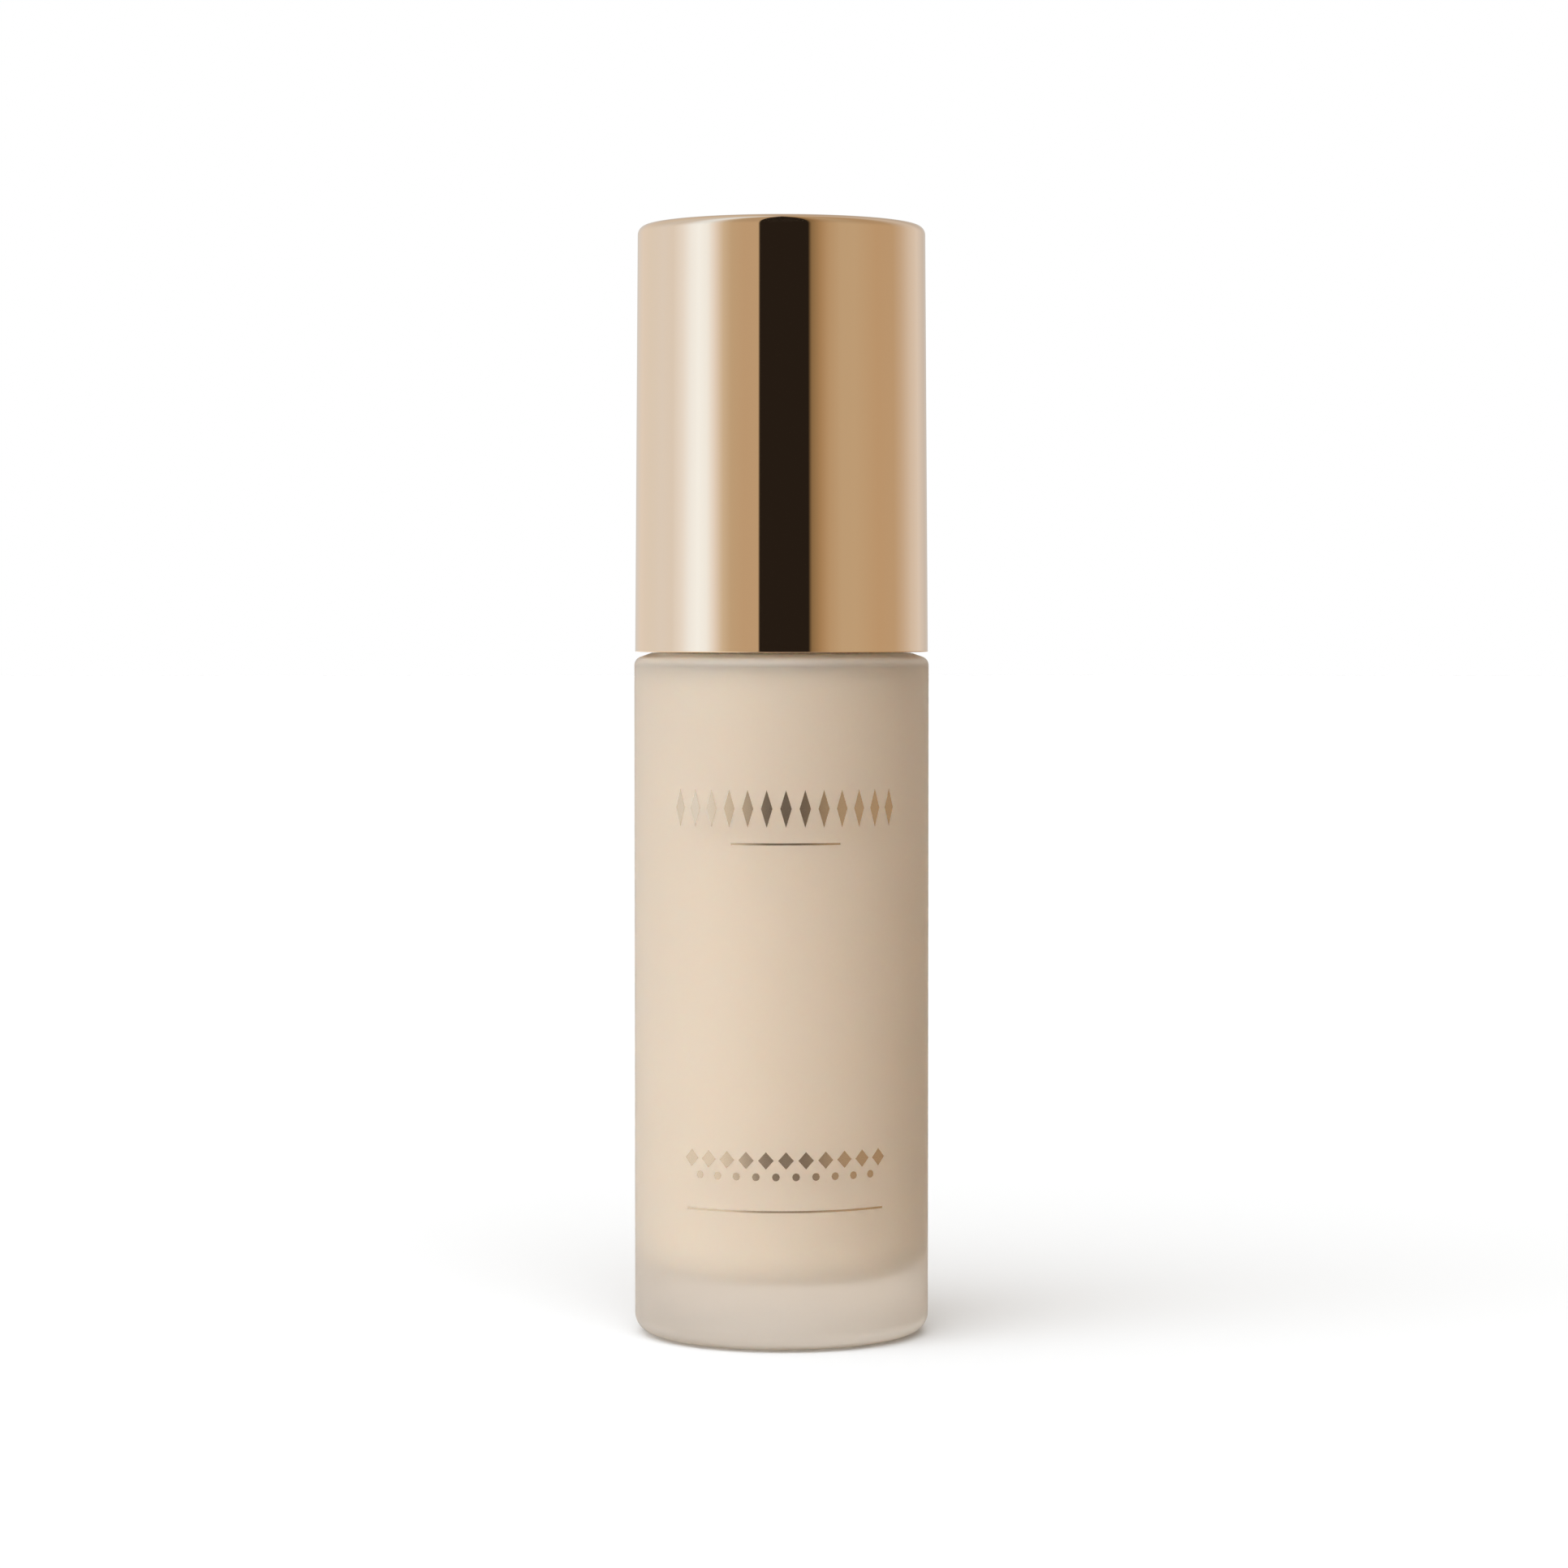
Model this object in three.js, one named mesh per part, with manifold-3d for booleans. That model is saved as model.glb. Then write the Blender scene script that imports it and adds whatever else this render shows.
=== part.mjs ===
// A frosted glass foundation bottle with a screw-on treatment pump and a push-on overcap.
// Millimetres, +Z up, origin at the centre of the foot ring. The nozzle faces -Y.
import * as THREE from 'three';
import { mergeVertices } from 'three/addons/utils/BufferGeometryUtils.js';
import Module from 'manifold-3d';

const wasm = await Module();
wasm.setup();

// ---- Driving dimensions ----

// The glass body. Its finish is a size 18-415 neck.
const BODY_R = 16.5;
const SHOULDER_Z = 75.5;
const SHOULDER_ROUND = 1;
const HEEL_ROUND = 1.8;
const LAND_R = 14.5;
const LAND_RISE = 0.7;
const RECESS_R = 11;
const RECESS_DEPTH = 0.7;
const FLOOR_Z = 6.6;
const FLOOR_ROUND = 4;
const CAVITY_R = 12.6;
const CEILING_Z = 74.4;
const CEILING_ROUND = 1;
const NECK_R = 7.85;
const NECK_TOP = 91.7;
const BORE_R = 5.5;

// The neck's thread and the closure's thread, half a pitch apart, with clearance between them.
const PITCH = 3.175;
const THREAD_TURNS = 2;
const THREAD_LOW_Z = 83.2;
const NECK_BEAD = { reach: 7.9, bead: 1 };
const CLOSURE_BEAD = { reach: 9.3, bead: 0.6 };

// Clearances: between pieces that stay together, and round the pieces that move.
const FIT = 0.1;
const FREE = 0.3;

// The pump, from the dip tube's foot up to the turret.
const TUBE_R = 1.6;
const TUBE_BORE_R = 1.1;
const TUBE_FOOT_Z = 9.5;
const SOCKET_FOOT_Z = 58;
const SOCKET_TOP_Z = 63.2;
const BALL_R = 1.5;
const BALL_Z = 65.3;
const CHAMBER_R = 2;
const BOOT_R = 3.4;
const BOOT_TOP_Z = 67.1;
const LEDGE_Z = 68;
const BARREL_R = 4.9;
const BARREL_BORE_R = 4;
const FLANGE_R = 8.6;
const FLANGE_THICKNESS = 0.8;
const GASKET_THICKNESS = 0.7;
const TURRET_R = 4.3;
const TURRET_TOP = 98;

// The stem and the pieces that travel on it. STROKE is the button's full travel.
const STROKE = 4;
const LOST_MOTION = 0.8;
const STEM_R = 2;
const STEM_BORE_R = 1.15;
const STEM_FOOT_Z = 82.6;
const STEM_TOP_Z = 106.6;
const STOP_Z = 88.6;
const STOP_R = 2.8;
const SEAT_Z = 80.6;
const SPRING_R = 2.9;
const WIRE_R = 0.35;
const SPRING_TURNS = 6;

// The closure and its sleeve. The sleeve stands above the closure as a well for the button.
const CLOSURE_R = 10.2;
const CLOSURE_BORE_R = 9.2;
const CLOSURE_FOOT_Z = 77;
const CLOSURE_ROOF = 1;
const SLEEVE_R = 11.3;
const SLEEVE_FOOT_Z = 76.8;
const SLEEVE_TOP_Z = 99.6;
const WELL_R = 9.2;

// The push button.
const BUTTON_R = 8.5;
const BUTTON_WALL = 0.7;
const BUTTON_FOOT_Z = 99.9;
const BUTTON_TOP_Z = 115.9;
const NOZZLE_Z = 111;
const NOZZLE_R = 2.4;
const NOZZLE_REACH = 10.4;

// The overcap: an outer shell with slight draft, and a liner that grips the sleeve with ribs.
const CAP_FOOT_Z = 76.3;
const CAP_TOP_Z = 123.8;
const CAP_FOOT_R = 16.4;
const CAP_TOP_R = 16.05;
const CAP_WALL = 1.2;
const CAP_ROUND = 1;
const LINER_WALL = 0.9;
const LINER_ROOF = 1.2;
const RIB_COUNT = 8;
const RIB_WIDTH = 1;
const RIB_TOP_Z = 93;

// How finely the round pieces are cut.
const WIDE_SIDES = 40;
const MIDDLE_SIDES = 32;
const SMALL_SIDES = 16;

// ---- Heights that follow from the ones above ----

const LAND_Z = SHOULDER_Z + LAND_RISE;
const GASKET_Z = NECK_TOP + FIT;
const FLANGE_Z = GASKET_Z + GASKET_THICKNESS + FIT;
const RETAINER_Z = FLANGE_Z + FLANGE_THICKNESS + FIT;
const ROOF_Z = RETAINER_Z + FLANGE_THICKNESS + 2 * FIT;
const CLOSURE_TOP = ROOF_Z + CLOSURE_ROOF;

// ---- Shared shaping ----

// Points [radius, height] on an arc, counted in degrees from straight out, positive upwards.
function arc(centreR, centreZ, radius, from, to, steps) {
  const points = [];
  for (let i = 0; i <= steps; i++) {
    const angle = THREE.MathUtils.degToRad(from + ((to - from) * i) / steps);
    points.push([centreR + radius * Math.cos(angle), centreZ + radius * Math.sin(angle)]);
  }
  return points;
}

// An outline of [radius, height] points turned about +Z. Open outlines start and end on the axis.
function turned(outline, sides) {
  const points = outline.map(([r, z]) => new THREE.Vector2(r, z));
  return new THREE.LatheGeometry(points, sides).rotateX(Math.PI / 2);
}

// The same for an outline that goes once round a ring's section.
function turnedRing(section, sides) {
  return turned([...section, section[0]], sides);
}

// A plain tube or washer.
function tube(bore, radius, low, high, sides) {
  return turnedRing([[bore, low], [radius, low], [radius, high], [bore, high]], sides);
}

// A right-hand helix about +Z.
class Helix extends THREE.Curve {
  constructor(radius, low, pitch, turns) {
    super();
    Object.assign(this, { radius, low, pitch, turns });
  }

  getPoint(t, target = new THREE.Vector3()) {
    const angle = 2 * Math.PI * this.turns * t;
    const height = this.low + this.pitch * this.turns * t;
    return target.set(this.radius * Math.cos(angle), this.radius * Math.sin(angle), height);
  }
}

// A round bar of the given radius wound along a helix.
function coil(radius, low, pitch, turns, barRadius, stepsPerTurn, barSides) {
  const corners = [];
  for (let i = 0; i < barSides; i++) {
    const angle = (2 * Math.PI * i) / barSides;
    corners.push(new THREE.Vector2(barRadius * Math.cos(angle), barRadius * Math.sin(angle)));
  }
  return new THREE.ExtrudeGeometry(new THREE.Shape(corners), {
    steps: Math.round(stepsPerTurn * turns),
    bevelEnabled: false,
    extrudePath: new Helix(radius, low, pitch, turns),
  });
}

function threadBead({ reach, bead }, low) {
  const stepsPerTurn = 16;
  const barSides = 6;
  return coil(reach, low, PITCH, THREAD_TURNS, bead, stepsPerTurn, barSides);
}

function solidOf(geometry) {
  const bare = geometry.clone();
  bare.deleteAttribute('normal');
  bare.deleteAttribute('uv');
  const merged = mergeVertices(bare, 1e-4);
  const vertProperties = merged.attributes.position.array;
  const triVerts = new Uint32Array(merged.index.array);
  return new wasm.Manifold(new wasm.Mesh({ numProp: 3, vertProperties, triVerts }));
}

function geometryOf(solid) {
  const { vertProperties, triVerts } = solid.getMesh();
  const geometry = new THREE.BufferGeometry();
  geometry.setAttribute('position', new THREE.BufferAttribute(vertProperties, 3));
  geometry.setIndex(new THREE.BufferAttribute(triVerts, 1));
  geometry.computeVertexNormals();
  return geometry;
}

function joined(first, ...others) {
  const whole = others.reduce((sum, other) => sum.add(solidOf(other)), solidOf(first));
  return geometryOf(whole);
}

function cutFrom(first, ...tools) {
  const left = tools.reduce((rest, tool) => rest.subtract(solidOf(tool)), solidOf(first));
  return geometryOf(left);
}

// ---- The bottle ----

function glassBottle() {
  const neckFillet = 0.8;
  const lipChamfer = 0.4;
  const slope = Math.atan2(LAND_RISE, BODY_R - LAND_R);
  const roundZ = SHOULDER_Z - SHOULDER_ROUND * (1 - Math.sin(slope)) / Math.cos(slope);
  const slopeStart = 90 - THREE.MathUtils.radToDeg(slope);
  const outline = [
    [0, RECESS_DEPTH],
    [RECESS_R - RECESS_DEPTH, RECESS_DEPTH],
    [RECESS_R, 0],
    ...arc(BODY_R - HEEL_ROUND, HEEL_ROUND, HEEL_ROUND, -90, 0, 4),
    ...arc(BODY_R - SHOULDER_ROUND, roundZ, SHOULDER_ROUND, 0, slopeStart, 4),
    [LAND_R, LAND_Z],
    [NECK_R + neckFillet, LAND_Z],
    [NECK_R, LAND_Z + neckFillet],
    [NECK_R, NECK_TOP - lipChamfer],
    [NECK_R - lipChamfer, NECK_TOP],
    [BORE_R, NECK_TOP],
    [BORE_R, CEILING_Z + neckFillet],
    [BORE_R + neckFillet, CEILING_Z],
    ...arc(CAVITY_R - CEILING_ROUND, CEILING_Z - CEILING_ROUND, CEILING_ROUND, 90, 0, 3),
    ...arc(CAVITY_R - FLOOR_ROUND, FLOOR_Z + FLOOR_ROUND, FLOOR_ROUND, 0, -90, 4),
    [0, FLOOR_Z],
  ];
  return joined(turned(outline, WIDE_SIDES), threadBead(NECK_BEAD, THREAD_LOW_Z));
}

// The liquid fills the bottle to its ceiling and leaves room for the barrel and the dip tube.
function foundationFill() {
  const barrelRoom = BARREL_R + FREE;
  const tubeRoom = TUBE_R + FREE;
  const bootRoom = BOOT_R + FREE;
  const barrelRoomFoot = BOOT_TOP_Z - 1.1;
  const fillR = CAVITY_R - FREE;
  const lowZ = FLOOR_Z + FREE;
  const topZ = CEILING_Z - FREE;
  const outline = [
    [0, lowZ],
    ...arc(fillR - FLOOR_ROUND, lowZ + FLOOR_ROUND, FLOOR_ROUND, -90, 0, 4),
    ...arc(fillR - CEILING_ROUND, topZ - CEILING_ROUND, CEILING_ROUND, 0, 90, 3),
    [barrelRoom, topZ],
    [barrelRoom, barrelRoomFoot],
    [bootRoom, barrelRoomFoot],
    [bootRoom, SOCKET_FOOT_Z - FREE],
    [tubeRoom, SOCKET_FOOT_Z - FREE],
    [tubeRoom, TUBE_FOOT_Z - FREE],
    [0, TUBE_FOOT_Z - FREE],
  ];
  return turned(outline, MIDDLE_SIDES);
}

// A round label that lies in the recess under the base.
function baseLabel() {
  const labelR = 9.6;
  const thickness = 0.15;
  const high = RECESS_DEPTH - FIT / 2;
  const outline = [[0, high - thickness], [labelR, high - thickness], [labelR, high], [0, high]];
  return turned(outline, MIDDLE_SIDES);
}

// ---- The pump ----

function neckGasket() {
  return tube(BORE_R + FREE, FLANGE_R, GASKET_Z, GASKET_Z + GASKET_THICKNESS, MIDDLE_SIDES);
}

// A stepped barrel: flange, bore, spring ledge, ball chamber with its conical seat, tube socket.
function pumpHousing() {
  const socketR = 2.7;
  const socketBoreR = TUBE_R + FIT;
  const inletR = 0.9;
  const coneFootZ = SOCKET_TOP_Z + 0.8;
  const coneRise = 0.9;
  const section = [
    [socketR, SOCKET_FOOT_Z],
    [socketR, SOCKET_TOP_Z],
    [BOOT_R, SOCKET_TOP_Z + 0.7],
    [BOOT_R, BOOT_TOP_Z],
    [BARREL_R, BOOT_TOP_Z + 0.6],
    [BARREL_R, FLANGE_Z],
    [FLANGE_R, FLANGE_Z],
    [FLANGE_R, FLANGE_Z + FLANGE_THICKNESS],
    [BARREL_BORE_R, FLANGE_Z + FLANGE_THICKNESS],
    [BARREL_BORE_R, LEDGE_Z],
    [CHAMBER_R, LEDGE_Z],
    [CHAMBER_R, coneFootZ + coneRise],
    [inletR, coneFootZ],
    [inletR, SOCKET_TOP_Z],
    [socketBoreR, SOCKET_TOP_Z],
    [socketBoreR, SOCKET_FOOT_Z],
  ];
  return turnedRing(section, SMALL_SIDES);
}

function checkBall() {
  const rings = 8;
  return new THREE.SphereGeometry(BALL_R, 12, rings).rotateX(Math.PI / 2).translate(0, 0, BALL_Z);
}

function dipTube() {
  const insertion = SOCKET_TOP_Z - FIT;
  return tube(TUBE_BORE_R, TUBE_R, TUBE_FOOT_Z, insertion, SMALL_SIDES);
}

// A plug in the barrel's mouth, a flange under the closure's roof and a turret round the stem.
function stemRetainer() {
  const guideR = STEM_R + FREE;
  const plugR = BARREL_BORE_R - FIT;
  const footZ = STOP_Z + 1.2;
  const edge = 0.4;
  const section = [
    [guideR, footZ],
    [plugR, footZ],
    [plugR, RETAINER_Z],
    [FLANGE_R, RETAINER_Z],
    [FLANGE_R, RETAINER_Z + FLANGE_THICKNESS],
    [TURRET_R, RETAINER_Z + FLANGE_THICKNESS],
    [TURRET_R, TURRET_TOP - edge],
    [TURRET_R - edge, TURRET_TOP],
    [guideR, TURRET_TOP],
  ];
  return turnedRing(section, SMALL_SIDES);
}

// ---- The stem and what travels on it ----

// A hollow stem with a stop collar, and cross ports just above the plug in its foot.
function stem() {
  const stopThickness = 0.9;
  const portR = 0.5;
  const portZ = STEM_FOOT_Z + 2;
  const section = [
    [STEM_BORE_R, STEM_FOOT_Z],
    [STEM_R, STEM_FOOT_Z],
    [STEM_R, STOP_Z],
    [STOP_R, STOP_Z],
    [STOP_R, STOP_Z + stopThickness],
    [STEM_R, STOP_Z + stopThickness],
    [STEM_R, STEM_TOP_Z],
    [STEM_BORE_R, STEM_TOP_Z],
  ];
  const ports = new THREE.CylinderGeometry(portR, portR, 3 * STEM_R, 8).translate(0, 0, portZ);
  return cutFrom(turnedRing(section, SMALL_SIDES), ports);
}

// The plug in the stem's foot: its cone shuts against the piston, its underside takes the spring.
function pistonSeat() {
  const headR = 3.3;
  const headThickness = 1;
  const spigotR = SPRING_R - WIRE_R - FREE;
  const outline = [
    [0, SEAT_Z - 1.8],
    [spigotR - 0.4, SEAT_Z - 1.8],
    [spigotR, SEAT_Z - 1.4],
    [spigotR, SEAT_Z],
    [headR, SEAT_Z],
    [headR, SEAT_Z + headThickness],
    [STEM_R, STEM_FOOT_Z - FIT],
    [STEM_BORE_R - FIT, STEM_FOOT_Z - FIT],
    [STEM_BORE_R - FIT, STEM_FOOT_Z + 1.2],
    [0, STEM_FOOT_Z + 1.2],
  ];
  return turned(outline, SMALL_SIDES);
}

// A double-lipped piston that slides on the stem, between the seat's cone and the stop collar.
function piston() {
  const lipR = BARREL_BORE_R - FIT;
  const waistR = 3.4;
  const lip = 0.6;
  const topZ = STOP_Z - LOST_MOTION - FIT;
  const footZ = STEM_FOOT_Z + FREE;
  const reliefR = STEM_R + 0.5;
  const slideR = STEM_R + FIT;
  const reliefTop = footZ + 2.7;
  const section = [
    [reliefR, footZ],
    [lipR, footZ],
    [lipR, footZ + lip],
    [waistR, footZ + 2 * lip],
    [waistR, topZ - 2 * lip],
    [lipR, topZ - lip],
    [lipR, topZ],
    [slideR, topZ],
    [slideR, reliefTop],
    [reliefR, reliefTop],
  ];
  return turnedRing(section, SMALL_SIDES);
}

function returnSpring() {
  const low = LEDGE_Z + WIRE_R + FIT;
  const high = SEAT_Z - WIRE_R - FIT;
  const stepsPerTurn = 12;
  const wireSides = 5;
  const pitch = (high - low) / SPRING_TURNS;
  return coil(SPRING_R, low, pitch, SPRING_TURNS, WIRE_R, stepsPerTurn, wireSides);
}

// ---- The closure ----

function closure() {
  const roofBoreR = TURRET_R + FREE;
  const edge = 0.3;
  const section = [
    [CLOSURE_BORE_R, CLOSURE_FOOT_Z],
    [CLOSURE_R, CLOSURE_FOOT_Z],
    [CLOSURE_R, CLOSURE_TOP - edge],
    [CLOSURE_R - edge, CLOSURE_TOP],
    [roofBoreR, CLOSURE_TOP],
    [roofBoreR, ROOF_Z],
    [CLOSURE_BORE_R, ROOF_Z],
  ];
  const bead = threadBead(CLOSURE_BEAD, THREAD_LOW_Z - PITCH / 2);
  return joined(turnedRing(section, MIDDLE_SIDES), bead);
}

// A straight sleeve with a rounded top edge that turns in to form the well.
function collarSleeve() {
  const bore = CLOSURE_R + 2 * FIT;
  const lip = 0.8;
  const round = 0.5;
  const section = [
    [bore, SLEEVE_FOOT_Z],
    [SLEEVE_R, SLEEVE_FOOT_Z],
    ...arc(SLEEVE_R - round, SLEEVE_TOP_Z - round, round, 0, 90, 3),
    [WELL_R, SLEEVE_TOP_Z],
    [WELL_R, SLEEVE_TOP_Z - lip],
    [bore, SLEEVE_TOP_Z - lip],
  ];
  return turnedRing(section, MIDDLE_SIDES);
}

// ---- The push button ----

// A cylinder that lies along Y, from the given distance in front of the axis outwards.
function forwardCylinder(radius, from, to, sides) {
  const length = to - from;
  return new THREE.CylinderGeometry(radius, radius, length, sides)
    .translate(0, -(from + to) / 2, NOZZLE_Z);
}

// A skirted plug: boss round the stem, outlet channel up and forwards, and a nozzle seat.
function actuatorCore() {
  const outerR = BUTTON_R - BUTTON_WALL - FREE;
  const skirtWall = 0.8;
  const skirtFootZ = BUTTON_FOOT_Z + 1.1;
  const bossR = 3.4;
  const bossFootZ = TURRET_TOP + STROKE + 0.6;
  const socketR = STEM_R + FIT;
  const webZ = NOZZLE_Z - 3.4;
  const topZ = BUTTON_TOP_Z - 1.3;
  const channelR = 1;
  const section = [
    [socketR, bossFootZ],
    [bossR, bossFootZ],
    [bossR, webZ],
    [outerR - skirtWall, webZ],
    [outerR - skirtWall, skirtFootZ],
    [outerR, skirtFootZ],
    [outerR, topZ],
    [0, topZ],
    [0, NOZZLE_Z],
    [channelR, NOZZLE_Z],
    [channelR, STEM_TOP_Z + FREE],
    [socketR, STEM_TOP_Z + FREE],
    [socketR, bossFootZ],
  ];
  const channel = forwardCylinder(channelR, 0, outerR, 10);
  const nozzleSeat = forwardCylinder(NOZZLE_R + FIT, 4, outerR + 1, 16);
  return cutFrom(turned(section, SMALL_SIDES), channel, nozzleSeat);
}

// The gold shell: an inverted cup with a dished top and a window for the nozzle.
function actuatorShell() {
  const bore = BUTTON_R - BUTTON_WALL;
  const round = 0.9;
  const dish = 0.5;
  const roof = 1;
  const outline = [
    [0, BUTTON_TOP_Z - roof],
    [bore, BUTTON_TOP_Z - roof],
    [bore, BUTTON_FOOT_Z],
    [BUTTON_R, BUTTON_FOOT_Z],
    ...arc(BUTTON_R - round, BUTTON_TOP_Z - round, round, 0, 90, 3),
    [BUTTON_R - 2.2, BUTTON_TOP_Z],
    [BUTTON_R - 4.6, BUTTON_TOP_Z - 0.7 * dish],
    [0, BUTTON_TOP_Z - dish],
  ];
  const window = forwardCylinder(NOZZLE_R + FREE, 4, BUTTON_R + 1, 20);
  return cutFrom(turned(outline, MIDDLE_SIDES), window);
}

// A short tube with a flared mouth that stands proud of the shell.
function nozzleInsert() {
  const boreR = 0.7;
  const mouthR = 1.2;
  const inner = 4.2;
  const edge = 0.5;
  const section = [
    [boreR, inner],
    [NOZZLE_R, inner],
    [NOZZLE_R, NOZZLE_REACH - edge],
    [NOZZLE_R - edge, NOZZLE_REACH],
    [mouthR, NOZZLE_REACH],
    [boreR, NOZZLE_REACH - 1],
  ];
  return turnedRing(section, SMALL_SIDES).rotateX(Math.PI / 2).translate(0, 0, NOZZLE_Z);
}

// ---- The overcap ----

function capRadiusAt(z) {
  const rise = (z - CAP_FOOT_Z) / (CAP_TOP_Z - CAP_FOOT_Z);
  return CAP_FOOT_R + (CAP_TOP_R - CAP_FOOT_R) * rise;
}

function capOuterShell() {
  const roofZ = CAP_TOP_Z - CAP_WALL;
  const outline = [
    [0, roofZ],
    [capRadiusAt(roofZ) - CAP_WALL, roofZ],
    [CAP_FOOT_R - CAP_WALL, CAP_FOOT_Z],
    [CAP_FOOT_R, CAP_FOOT_Z],
    ...arc(CAP_TOP_R - CAP_ROUND, CAP_TOP_Z - CAP_ROUND, CAP_ROUND, 0, 90, 6),
    [0, CAP_TOP_Z],
  ];
  return turned(outline, WIDE_SIDES);
}

function capLiner() {
  const outerTopZ = CAP_TOP_Z - CAP_WALL - FREE;
  const roofZ = outerTopZ - LINER_ROOF;
  const footZ = LAND_Z + FREE;
  const outerAt = (z) => capRadiusAt(z) - CAP_WALL - FREE;
  const outline = [
    [0, roofZ],
    [outerAt(roofZ) - LINER_WALL, roofZ],
    [outerAt(footZ) - LINER_WALL, footZ],
    [outerAt(footZ), footZ],
    [outerAt(outerTopZ), outerTopZ],
    [0, outerTopZ],
  ];
  const ribInnerR = SLEEVE_R + FREE;
  const ribOuterR = outerAt(footZ) - LINER_WALL / 2;
  const ribFootZ = footZ + 0.7;
  const ribs = [];
  for (let i = 0; i < RIB_COUNT; i++) {
    const rib = new THREE.BoxGeometry(ribOuterR - ribInnerR, RIB_WIDTH, RIB_TOP_Z - ribFootZ);
    rib.translate((ribOuterR + ribInnerR) / 2, 0, (RIB_TOP_Z + ribFootZ) / 2);
    rib.rotateZ((2 * Math.PI * (i + 0.5)) / RIB_COUNT);
    ribs.push(rib);
  }
  return joined(turned(outline, WIDE_SIDES), ...ribs);
}

// ---- Assembly ----

function piece(name, geometry, color, roughness, metalness) {
  const material = new THREE.MeshStandardMaterial({ color, roughness, metalness });
  const mesh = new THREE.Mesh(geometry, material);
  mesh.name = name;
  return mesh;
}

const bottleGroup = new THREE.Group();
bottleGroup.add(
  piece('glass_bottle', glassBottle(), 0xe9e4dc, 0.45, 0),
  piece('foundation_fill', foundationFill(), 0xdcc3a4, 0.5, 0),
  piece('base_label', baseLabel(), 0xf2efe9, 0.6, 0),
);

const pumpGroup = new THREE.Group();
pumpGroup.add(
  piece('neck_gasket', neckGasket(), 0xf0efe8, 0.7, 0),
  piece('pump_housing', pumpHousing(), 0xf1f0ec, 0.45, 0),
  piece('stem_retainer', stemRetainer(), 0xf4f3ef, 0.4, 0),
  piece('dip_tube', dipTube(), 0xe6e6e2, 0.5, 0),
  piece('check_ball', checkBall(), 0xc9ccd0, 0.15, 1),
);

const stemGroup = new THREE.Group();
stemGroup.add(
  piece('stem', stem(), 0xf6f5f1, 0.4, 0),
  piece('piston_seat', pistonSeat(), 0xeceae4, 0.45, 0),
  piece('piston', piston(), 0xe3e8ea, 0.45, 0),
  piece('return_spring', returnSpring(), 0xb9bdc2, 0.25, 1),
);

const closureGroup = new THREE.Group();
closureGroup.add(
  piece('closure', closure(), 0xf2f1ee, 0.5, 0),
  piece('collar_sleeve', collarSleeve(), 0xd9b88c, 0.12, 1),
);

const buttonGroup = new THREE.Group();
buttonGroup.add(
  piece('actuator_core', actuatorCore(), 0xf5f4f0, 0.4, 0),
  piece('actuator_shell', actuatorShell(), 0xd9b88c, 0.12, 1),
  piece('nozzle_insert', nozzleInsert(), 0xf7f6f3, 0.35, 0),
);

const capGroup = new THREE.Group();
capGroup.add(
  piece('cap_liner', capLiner(), 0xf3f2ee, 0.45, 0),
  piece('cap_outer_shell', capOuterShell(), 0xd9b88c, 0.05, 1),
);

const foundationBottle = new THREE.Group();
foundationBottle.add(bottleGroup, pumpGroup, stemGroup, closureGroup, buttonGroup, capGroup);

export default foundationBottle;
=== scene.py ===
import math

import bmesh
import bpy
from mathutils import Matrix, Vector


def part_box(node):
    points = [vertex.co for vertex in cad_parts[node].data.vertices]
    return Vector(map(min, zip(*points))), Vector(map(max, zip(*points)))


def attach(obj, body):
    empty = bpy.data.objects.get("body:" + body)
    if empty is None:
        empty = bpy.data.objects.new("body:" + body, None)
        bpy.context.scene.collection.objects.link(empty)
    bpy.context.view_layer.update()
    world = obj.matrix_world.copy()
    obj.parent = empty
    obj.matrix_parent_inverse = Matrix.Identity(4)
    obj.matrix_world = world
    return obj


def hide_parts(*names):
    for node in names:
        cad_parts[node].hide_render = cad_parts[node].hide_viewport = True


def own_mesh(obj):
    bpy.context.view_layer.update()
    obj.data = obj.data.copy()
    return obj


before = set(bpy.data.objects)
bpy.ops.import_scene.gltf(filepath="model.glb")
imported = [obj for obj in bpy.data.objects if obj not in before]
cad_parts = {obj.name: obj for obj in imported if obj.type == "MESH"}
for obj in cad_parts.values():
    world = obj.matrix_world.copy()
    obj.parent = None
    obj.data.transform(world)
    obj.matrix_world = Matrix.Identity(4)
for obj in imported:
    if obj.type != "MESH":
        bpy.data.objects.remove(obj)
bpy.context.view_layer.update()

# ---------------------------------------------------------------------------------------------
# Glass bottle. One heavy-wall pressing of clear glass with a thick base and a threaded neck.
# The outside is etched in acid to a satin frost, and the bore and the cavity stay bright.
# ---------------------------------------------------------------------------------------------

MM = 0.001


def span(node):
    """The foot, the top and the outside radius of a node of the frame, in millimetres."""
    low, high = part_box(node)
    return low.z / MM, high.z / MM, high.x / MM


ARC_STEP = math.radians(11)
CREASE = math.radians(38)


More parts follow.
